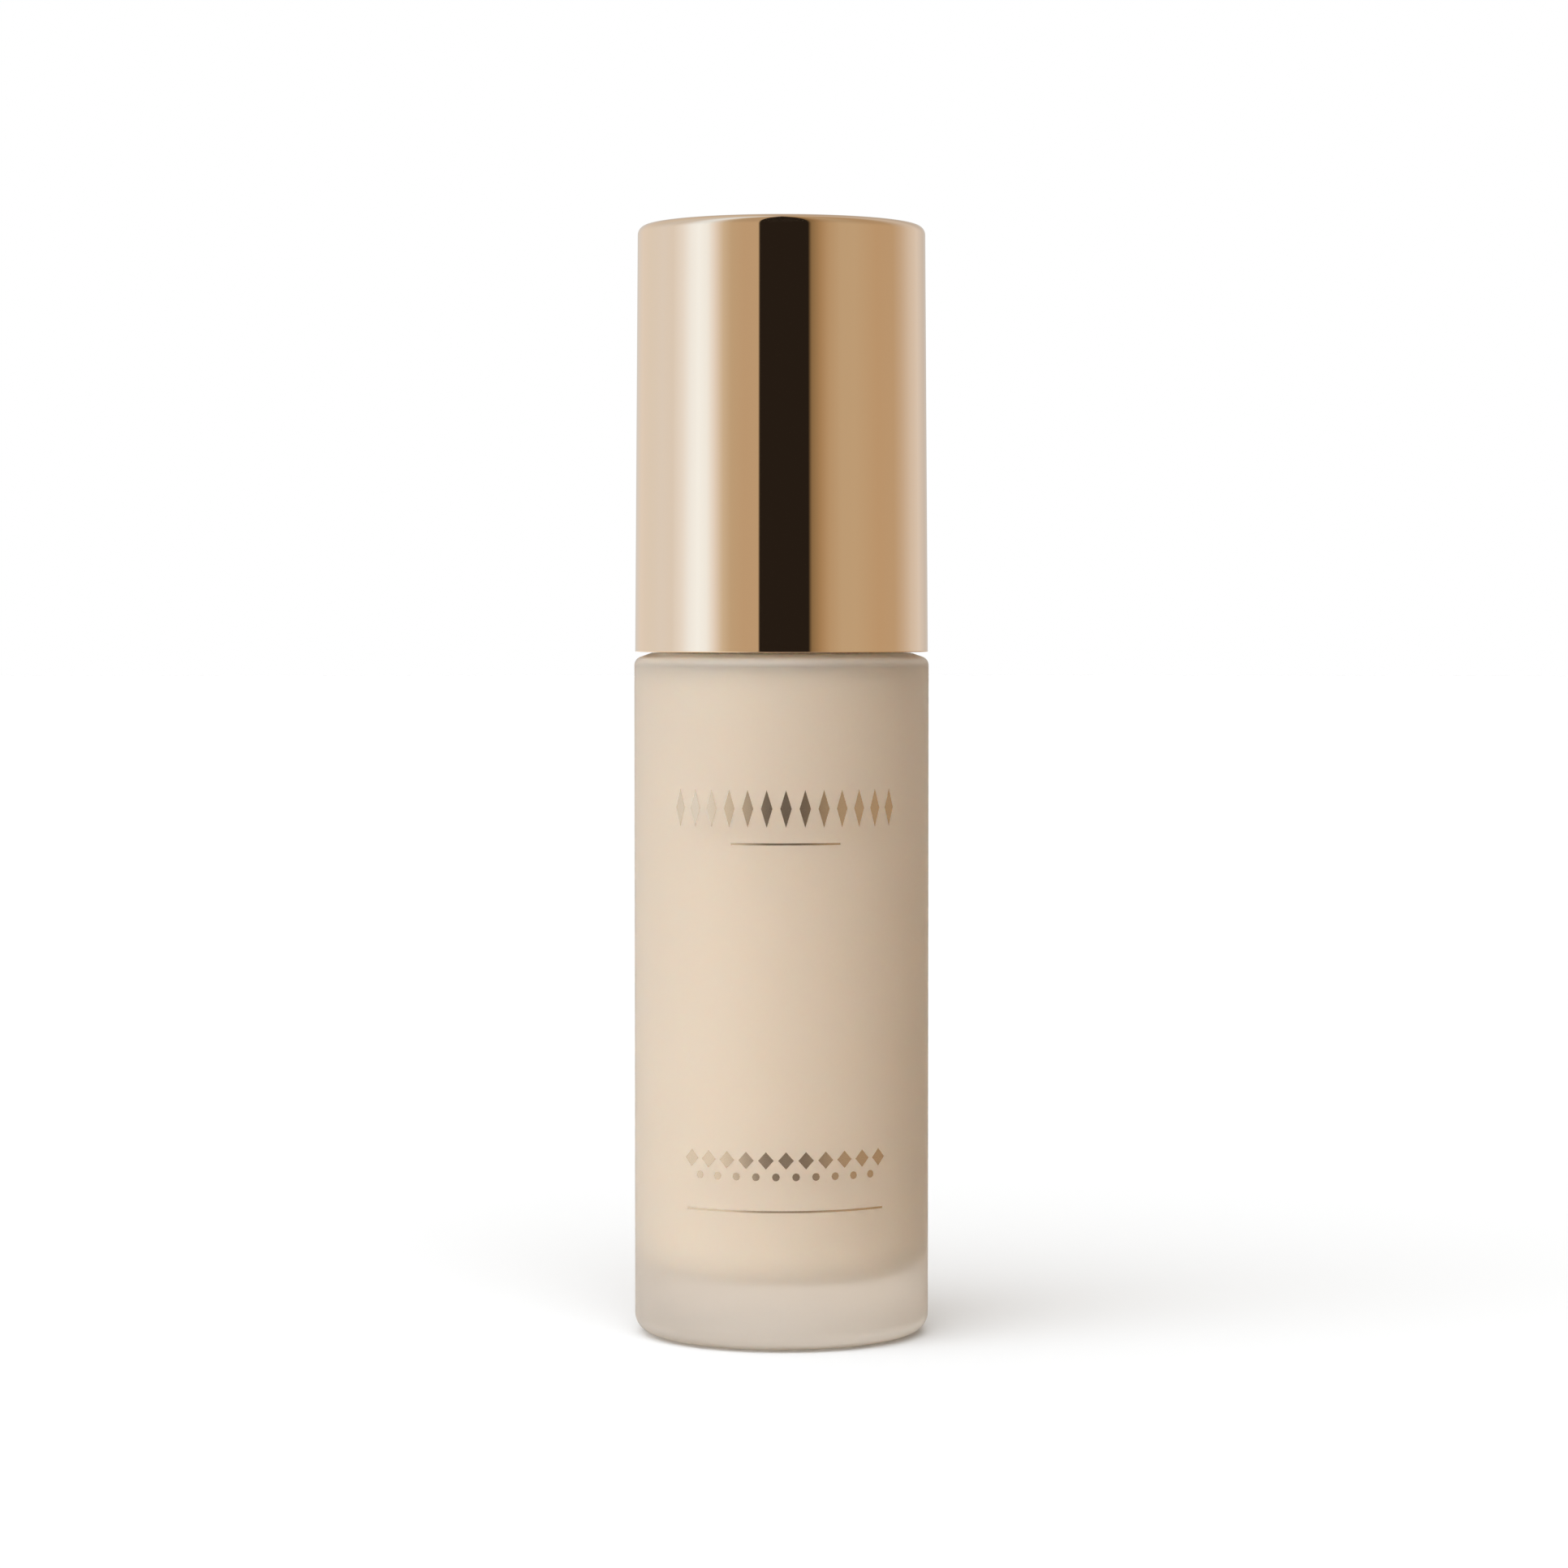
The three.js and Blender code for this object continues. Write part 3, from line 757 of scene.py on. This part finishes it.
# The marks that turning and drawing leave: fine rings round the axis, and rubs from handling.
lines, lines_in, lines_out = new_group(
    "drawn_rings",
    {
        "Gold A": (1, 1, 1, 1), "Gold B": (1, 1, 1, 1),
        "Gloss Low": 0.1, "Gloss High": 0.2, "Rings Per mm": 8.0,
    },
    {"Color": "NodeSocketColor", "Roughness": "NodeSocketFloat", "Height": "NodeSocketFloat"},
)
lines_place = surface_in_mm(lines)
apart = lines.nodes.new("ShaderNodeSeparateXYZ")
lines.links.new(lines_place, apart.inputs[0])
level = lines.nodes.new("ShaderNodeCombineXYZ")
lines.links.new(apart.outputs["Z"], level.inputs["Z"])
ringed = noise_at(lines, level.outputs[0], lines_in.outputs["Rings Per mm"], 3, 0.7)
rubbed = noise_at(lines, lines_place, 0.25, 5, 0.6)
lines_tone = lines.nodes.new("ShaderNodeMix")
lines_tone.data_type = "RGBA"
lines.links.new(rubbed, lines_tone.inputs[0])
lines.links.new(lines_in.outputs["Gold A"], lines_tone.inputs[6])
lines.links.new(lines_in.outputs["Gold B"], lines_tone.inputs[7])
lines.links.new(lines_tone.outputs[2], lines_out.inputs["Color"])
both = lines.nodes.new("ShaderNodeMath")
both.operation = "MULTIPLY"
lines.links.new(ringed, both.inputs[0])
lines.links.new(rubbed, both.inputs[1])
lines.links.new(
    spread(lines, both.outputs[0], lines_in.outputs["Gloss Low"], lines_in.outputs["Gloss High"]),
    lines_out.inputs["Roughness"],
)
lines.links.new(ringed, lines_out.inputs["Height"])


def drawn_gold(name, gold_a, gold_b, gloss, rings_per_mm, depth_mm, **sockets):
    """A gold metal finish with drawn rings of the given depth."""
    made, shader = finish(name, Metallic=1.0, **sockets)
    tree = made.node_tree
    node = tree.nodes.new("ShaderNodeGroup")
    node.node_tree = lines
    node.inputs["Gold A"].default_value = (*gold_a, 1)
    node.inputs["Gold B"].default_value = (*gold_b, 1)
    node.inputs["Gloss Low"].default_value = gloss[0]
    node.inputs["Gloss High"].default_value = gloss[1]
    node.inputs["Rings Per mm"].default_value = rings_per_mm
    bump = tree.nodes.new("ShaderNodeBump")
    bump.inputs["Strength"].default_value = 1
    bump.inputs["Distance"].default_value = depth_mm * MM
    tree.links.new(node.outputs["Color"], shader.inputs["Base Color"])
    tree.links.new(node.outputs["Roughness"], shader.inputs["Roughness"])
    tree.links.new(node.outputs["Height"], bump.inputs["Height"])
    tree.links.new(bump.outputs["Normal"], shader.inputs["Normal"])
    return made


anodised = drawn_gold(
    "anodised_gold", (0.86, 0.61, 0.38), (0.89, 0.64, 0.41),
    gloss=(0.1, 0.24), rings_per_mm=7, depth_mm=0.0006,
    Coat_Weight=0.3, Coat_Roughness=0.1,
)
sleeve_foot, sleeve_top, sleeve_r = span("collar_sleeve")
sleeve_bore = 10.4
well_r = 9.2
rim = 0.8
sleeve_corners = [
    (sleeve_bore, sleeve_foot, 0.2),
    (sleeve_r, sleeve_foot, 0.3),
    (sleeve_r, sleeve_top, 0.7),
    (well_r, sleeve_top, 0.35),
    (well_r, sleeve_top - rim, 0.3),
    (sleeve_bore, sleeve_top - rim, 0.2),
]
sleeve = turned("gold_collar", rounded(sleeve_corners, closed=True), closed=True, segments=128)
settle(sleeve, "closure", "gold_aluminium", anodised, "collar_sleeve")

# ---------------------------------------------------------------------------------------------
# Push button. A white core carries the outlet channel from the stem to the nozzle, a gold
# shell with a dished top is pressed over it, and the nozzle stands out through its window.
# ---------------------------------------------------------------------------------------------


def forward_bar(name, radius, start, end, height, segments=48):
    """A round bar that lies along -Y at the given height, to cut a window or a channel."""
    bar = turned(name, [(0, start), (radius, start), (radius, end), (0, end)], segments=segments)
    for vertex in bar.data.vertices:
        x, y, z = vertex.co
        vertex.co = (x, -z, y + height * MM)
    return bar


nozzle_low, nozzle_high, nozzle_r = span("nozzle_insert")
nozzle_z = (nozzle_low + nozzle_high) / 2
nozzle_reach = -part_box("nozzle_insert")[0].y / MM
core_foot, core_top, core_r = span("actuator_core")
nozzle_seat = 4
boss_foot = turret_top + 4.6
boss_r = 3.4
socket_r = stem_r + play
socket_end = stem_top + room
channel_r = 1
core_skirt_r = core_r - 0.8
web_z = nozzle_z - 3.4
core_corners = [
    (socket_r, boss_foot, 0.2),
    (boss_r, boss_foot, 0.3),
    (boss_r, web_z, 0.3),
    (core_skirt_r, web_z, 0.4),
    (core_skirt_r, core_foot, 0.2),
    (core_r, core_foot, 0.2),
    (core_r, core_top, 0.4),
    (0, core_top, 0),
    (0, nozzle_z, 0),
    (channel_r, nozzle_z, 0),
    (channel_r, socket_end, 0.1),
    (socket_r, socket_end, 0.1),
    (socket_r, boss_foot, 0),
]
core_outline = rounded(core_corners)
# The outline ends where it began, so its last point is left off.
core = turned("button_core", core_outline[:-1], closed=True, segments=96)
channel = forward_bar("core_channel", channel_r, 0, core_r - 0.5, nozzle_z, 24)
combined(core, channel, "DIFFERENCE")
seat = forward_bar("core_seat", nozzle_r + play, nozzle_seat, core_r + 1, nozzle_z)
combined(core, seat, "DIFFERENCE")
settle(core, "actuator", "white_plastic", white, "actuator_core")

button_foot, button_top, button_r = span("actuator_shell")
button_bore = button_r - 0.7
button_ceiling = button_top - 1
shell_corners = [
    (0, button_ceiling, 0),
    (button_bore, button_ceiling, 0.4),
    (button_bore, button_foot, 0.2),
    (button_r, button_foot, 0.25),
    (button_r, button_top, 0.95),
    (button_r - 2.2, button_top, 1.5),
    (button_r - 4.6, button_top - 0.35, 6),
    (0, button_top - 0.5, 0),
]
button = turned("gold_button", rounded(shell_corners), segments=128)
window = forward_bar("button_window", nozzle_r + room, nozzle_seat, button_r + 1, nozzle_z)
combined(button, window, "DIFFERENCE")
settle(button, "actuator", "gold_aluminium", anodised, "actuator_shell")

nozzle_root = 4.2
outlet_r = 0.7
outlet_flare_r = 1.2
nozzle_corners = [
    (outlet_r, nozzle_root, 0.1),
    (nozzle_r, nozzle_root, 0.3),
    (nozzle_r, nozzle_reach, 0.6),
    (outlet_flare_r, nozzle_reach, 0.2),
    (outlet_r, nozzle_reach - 1, 0.3),
]
nozzle = turned("outlet_nozzle", rounded(nozzle_corners, closed=True), closed=True, segments=64)
for vertex in nozzle.data.vertices:
    x, y, z = vertex.co
    vertex.co = (x, -z, y + nozzle_z * MM)
settle(nozzle, "actuator", "white_plastic", white, "nozzle_insert")

# ---------------------------------------------------------------------------------------------
# Cap liner. A white polypropylene cup glued inside the overcap. Eight ribs run down its wall
# and grip the collar sleeve.
# ---------------------------------------------------------------------------------------------

liner_foot, liner_top, liner_r = span("cap_liner")
cap_wall = 1.2
cap_top_r = 16.05
liner_top_r = cap_top_r - cap_wall - room
liner_wall = 0.9
liner_ceiling = liner_top - 1.2
liner_corners = [
    (0, liner_ceiling, 0),
    (liner_top_r - liner_wall, liner_ceiling, 0.8),
    (liner_r - liner_wall, liner_foot, 0.3),
    (liner_r, liner_foot, 0.3),
    (liner_top_r, liner_top, 0.4),
    (0, liner_top, 0),
]
liner = turned("inner_cap", rounded(liner_corners), segments=128)
rib_count = 8
rib_inner = sleeve_r + room
rib_outer = liner_r - liner_wall / 2
rib_foot = liner_foot + 0.7
rib_top = 93
rib_width = 1
rib_bevel = 0.12
for i in range(rib_count):
    bearing = 2 * math.pi * (i + 0.5) / rib_count
    work = bmesh.new()
    bmesh.ops.create_cube(work, size=1)
    bmesh.ops.bevel(
        work, geom=work.edges[:], offset=rib_bevel, segments=2, affect="EDGES", profile=0.5)
    for vertex in work.verts:
        out = (rib_inner + rib_outer) / 2 + vertex.co.x * (rib_outer - rib_inner)
        side = vertex.co.y * rib_width
        up = (rib_foot + rib_top) / 2 + vertex.co.z * (rib_top - rib_foot)
        vertex.co = (
            (out * math.cos(bearing) - side * math.sin(bearing)) * MM,
            (out * math.sin(bearing) + side * math.cos(bearing)) * MM,
            up * MM,
        )
    combined(liner, mesh_object(f"rib_{i}", work), "UNION")
settle(liner, "cap", "white_plastic", white, "cap_liner")

# ---------------------------------------------------------------------------------------------
# Overcap. An outer shell moulded in ABS with slight draft and a softly rounded top edge. It is
# plated in vacuum with a champagne gold mirror, under a clear lacquer.
# ---------------------------------------------------------------------------------------------

mirror = drawn_gold(
    "gold_mirror", (0.875, 0.635, 0.415), (0.885, 0.645, 0.425),
    gloss=(0.02, 0.05), rings_per_mm=0.05, depth_mm=0.0002,
    Coat_Weight=1.0, Coat_Roughness=0.02, Coat_IOR=1.5,
)
cap_edge = 1.0
cap_ceiling = cap_top - cap_wall
cap_corners = [
    (0, cap_ceiling, 0),
    (cap_top_r - cap_wall, cap_ceiling, 0.4),
    (cap_r - cap_wall, cap_foot, 0.12),
    (cap_r, cap_foot, 0.06),
    (cap_top_r, cap_top, cap_edge),
    (0, cap_top, 0),
]
overcap = turned("mirror_overcap", rounded(cap_corners), segments=192)
settle(overcap, "cap", "gold_mirror", mirror, "cap_outer_shell")

# ---------------------------------------------------------------------------------------------
# Floor. A plain pale board. In reflections and in bounced light it carries painted light: painted
# light under the bottle and at the left, painted warm shade at the right, a painted flag shadow in
# front.
# ---------------------------------------------------------------------------------------------

floor_paint, floor_shader = finish("floor_white_painted_bounce", Roughness=0.9)
floor_tree = floor_paint.node_tree
floor_place = floor_tree.nodes.new("ShaderNodeTexCoord")
floor_parts = floor_tree.nodes.new("ShaderNodeSeparateXYZ")
floor_tree.links.new(floor_place.outputs["Object"], floor_parts.inputs[0])


def ramped(tree, value, low, high, at_low=0.0, at_high=1.0):
    """A smooth step from at_low to at_high as the value goes from low to high."""
    step = tree.nodes.new("ShaderNodeMapRange")
    step.interpolation_type = "SMOOTHSTEP"
    ends = {"From Min": low, "From Max": high, "To Min": at_low, "To Max": at_high}
    for label, number in ends.items():
        step.inputs[label].default_value = number
    tree.links.new(value, step.inputs["Value"])
    return step.outputs["Result"]


def arithmetic(tree, operation, first, second):
    """The result of a sum on two values, each a number or a socket."""
    node = tree.nodes.new("ShaderNodeMath")
    node.operation = operation
    for place, value in enumerate((first, second)):
        if isinstance(value, (int, float)):
            node.inputs[place].default_value = value
        else:
            tree.links.new(value, node.inputs[place])
    return node.outputs[0]


def toned(tree, share, first, second):
    """A colour between two others, each a colour or a socket."""
    node = tree.nodes.new("ShaderNodeMix")
    node.data_type = "RGBA"
    tree.links.new(share, node.inputs[0])
    for place, colour in ((6, first), (7, second)):
        if isinstance(colour, tuple):
            node.inputs[place].default_value = (*colour, 1)
        else:
            tree.links.new(colour, node.inputs[place])
    return node.outputs[2]


def bearing_of(tree, across, along):
    """The bearing of a direction from -Y in radians, positive towards +X."""
    return arithmetic(tree, "ARCTAN2", across, arithmetic(tree, "MULTIPLY", along, -1))


away = floor_tree.nodes.new("ShaderNodeVectorMath")
away.operation = "LENGTH"
floor_tree.links.new(floor_place.outputs["Object"], away.inputs[0])
floor_bearing = bearing_of(floor_tree, floor_parts.outputs["X"], floor_parts.outputs["Y"])
flag_middle = 0.03
from_flag = arithmetic(floor_tree, "SUBTRACT", floor_bearing, flag_middle)
off_flag = arithmetic(floor_tree, "ABSOLUTE", from_flag, 0)
# Painted shadow of the flag: the floor is painted dark in front, towards the lens.
shade = arithmetic(
    floor_tree, "MULTIPLY",
    ramped(floor_tree, off_flag, 0.2, 0.9, 1, 0),
    ramped(floor_tree, away.outputs["Value"], 0.07, 0.14),
)
reach = arithmetic(floor_tree, "ADD", away.outputs["Value"], 0.05)
# Painted warm shade: the floor is painted darker and warmer towards the right, and lighter at the
# left.
rightward = ramped(
    floor_tree, arithmetic(floor_tree, "DIVIDE", floor_parts.outputs["X"], reach), -0.45, 0.75)
# Colours that only reflections and bounced light see: painted light at the left and under the
# bottle, painted warm shade at the right, painted flag shadow in front. The lens sees the plain
# floor.
painted_light_left = (0.70, 0.67, 0.63)
painted_warm_shade_right = (0.34, 0.24, 0.15)
painted_flag_shadow = (0.09, 0.06, 0.04)
painted_light_under_bottle = (0.74, 0.72, 0.69)
plain_floor = (0.78, 0.80, 0.82)
painted_side_light_floor = toned(floor_tree, rightward, painted_light_left, painted_warm_shade_right)
floor_with_painted_flag_shadow = toned(floor_tree, shade, painted_side_light_floor, painted_flag_shadow)
# Painted light under the bottle, where its own shadow falls.
under = ramped(floor_tree, away.outputs["Value"], 0.018, 0.03)
painted_bounce = toned(floor_tree, under, painted_light_under_bottle, floor_with_painted_flag_shadow)
seen = floor_tree.nodes.new("ShaderNodeLightPath")
floor_tone = toned(floor_tree, seen.outputs["Is Camera Ray"], painted_bounce, plain_floor)
floor_tree.links.new(floor_tone, floor_shader.inputs["Base Color"])
floor_r = 6
floor_gap = 0.0002
floor_work = bmesh.new()
bmesh.ops.create_circle(floor_work, cap_ends=True, radius=floor_r, segments=96)
floor = mesh_object("floor", floor_work)
floor.location.z = -floor_gap
floor.data.materials.append(floor_paint)

# ---------------------------------------------------------------------------------------------
# Studio light. Soft walls all round, brightest at the left, with a dark flag round the lens.
# Three large soft lights hang over them, in front at the left, overhead and behind.
# ---------------------------------------------------------------------------------------------

world = bpy.data.worlds.new("studio")
bpy.context.scene.world = world
world.use_nodes = True
sky = world.node_tree
sky.nodes.clear()
toward = sky.nodes.new("ShaderNodeTexCoord")
parts = sky.nodes.new("ShaderNodeSeparateXYZ")
sky.links.new(toward.outputs["Generated"], parts.inputs[0])
sky_bearing = bearing_of(sky, parts.outputs["X"], parts.outputs["Y"])
turn = sky.nodes.new("ShaderNodeMapRange")
turn.inputs["From Min"].default_value = -math.pi
turn.inputs["From Max"].default_value = math.pi
sky.links.new(sky_bearing, turn.inputs["Value"])
walls = sky.nodes.new("ShaderNodeValToRGB")
sky.links.new(turn.outputs["Result"], walls.inputs["Fac"])

# Each stop is a bearing in degrees, 0 towards the lens and positive to its right, and a light.
flag_black = (0.021, 0.017, 0.0145)
wall_light = [
    (-180, (0.61, 0.55, 0.49)),
    (-146, (0.80, 0.755, 0.70)),
    (-128, (0.79, 0.81, 0.82)),
    (-110, (0.80, 0.86, 0.955)),
    (-96, (0.80, 0.86, 0.955)),
    (-85, (0.893, 1.01, 1.20)),
    (-77, (0.974, 1.19, 1.51)),
    (-69, (1.03, 1.29, 1.66)),
    (-61, (0.983, 1.21, 1.53)),
    (-54, (0.858, 0.918, 1.04)),
    (-47, (0.667, 0.628, 0.557)),
    (-40, (0.581, 0.505, 0.394)),
    (-30, (0.568, 0.47, 0.354)),
    (-18.2, (0.57, 0.473, 0.357)),
    (-17.2, flag_black),
    (21.8, flag_black),
    (23.2, (0.27, 0.20, 0.115)),
    (31, (0.436, 0.323, 0.198)),
    (37.6, (0.528, 0.424, 0.297)),
    (48, (0.581, 0.499, 0.381)),
    (60, (0.585, 0.503, 0.385)),
    (82, (0.561, 0.449, 0.321)),
    (100, (0.561, 0.457, 0.334)),
    (111, (0.623, 0.549, 0.473)),
    (123, (0.714, 0.68, 0.654)),
    (138, (0.767, 0.738, 0.712)),
    (156, (0.62, 0.56, 0.50)),
    (180, (0.61, 0.55, 0.49)),
]
stops = walls.color_ramp.elements
stops[0].color = (*wall_light[0][1], 1)
stops[1].color = (*wall_light[-1][1], 1)
for degrees, light in wall_light[1:-1]:
    stops.new((degrees + 180) / 360).color = (*light, 1)


def soft_light(base, direction, edge, core, light):
    """Adds a soft round light above the walls. edge and core are cosines from its direction."""
    aim = sky.nodes.new("ShaderNodeVectorMath")
    aim.operation = "DOT_PRODUCT"
    sky.links.new(toward.outputs["Generated"], aim.inputs[0])
    aim.inputs[1].default_value = Vector(direction).normalized()
    share = arithmetic(
        sky, "MULTIPLY",
        ramped(sky, aim.outputs["Value"], edge, core),
        ramped(sky, parts.outputs["Z"], 0.12, 0.34),
    )
    return toned(sky, share, base, light)


dusk = ramped(sky, parts.outputs["Z"], 0.06, 0.22, 1, 0.3)
dim = sky.nodes.new("ShaderNodeVectorMath")
dim.operation = "SCALE"
sky.links.new(walls.outputs["Color"], dim.inputs[0])
sky.links.new(dusk, dim.inputs["Scale"])
back = soft_light(dim.outputs[0], (-0.6, 0.75, 0.45), 0.3, 0.8, (0.8, 0.77, 0.74))
zenith = soft_light(back, (0, 0, 1), 0.45, 0.9, (0.8, 0.71, 0.61))
key = soft_light(zenith, (-0.29, -0.72, 0.62), 0.5, 0.92, (3.1, 3.15, 3.2))
path = sky.nodes.new("ShaderNodeLightPath")

# The soft lights are hidden from reflections, which show only tall walls and the flag.
tall = sky.nodes.new("ShaderNodeVectorMath")
tall.operation = "SCALE"
sky.links.new(walls.outputs["Color"], tall.inputs[0])
sky.links.new(ramped(sky, parts.outputs["Z"], 0.1, 0.6, 1, 0.85), tall.inputs["Scale"])
not_through = arithmetic(sky, "SUBTRACT", 1, path.outputs["Is Transmission Ray"])
mirrored = arithmetic(sky, "MULTIPLY", path.outputs["Is Glossy Ray"], not_through)
lit = sky.nodes.new("ShaderNodeBackground")
sky.links.new(toned(sky, mirrored, key, tall.outputs[0]), lit.inputs["Color"])
plain = sky.nodes.new("ShaderNodeBackground")
plain.inputs["Color"].default_value = (1, 1, 1, 1)
pick = sky.nodes.new("ShaderNodeMixShader")
sky.links.new(path.outputs["Is Camera Ray"], pick.inputs["Fac"])
sky.links.new(lit.outputs[0], pick.inputs[1])
sky.links.new(plain.outputs[0], pick.inputs[2])
end = sky.nodes.new("ShaderNodeOutputWorld")
sky.links.new(pick.outputs[0], end.inputs["Surface"])
bpy.context.scene.view_settings.view_transform = "Standard"

# ---------------------------------------------------------------------------------------------
# Camera. It stands about half a metre in front, a little above the foot of the cap, and looks
# slightly down.
# ---------------------------------------------------------------------------------------------

camera_place = (0.00028, -0.4895, 0.0797)
camera_dip = 2.135
lens = bpy.data.cameras.new("camera")
lens.lens = 100.15
lens.sensor_width = 36
lens.clip_start = 0.01
camera = bpy.data.objects.new("camera", lens)
bpy.context.scene.collection.objects.link(camera)
camera.location = camera_place
camera.rotation_euler = (math.radians(90 - camera_dip), 0, 0)
bpy.context.scene.camera = camera
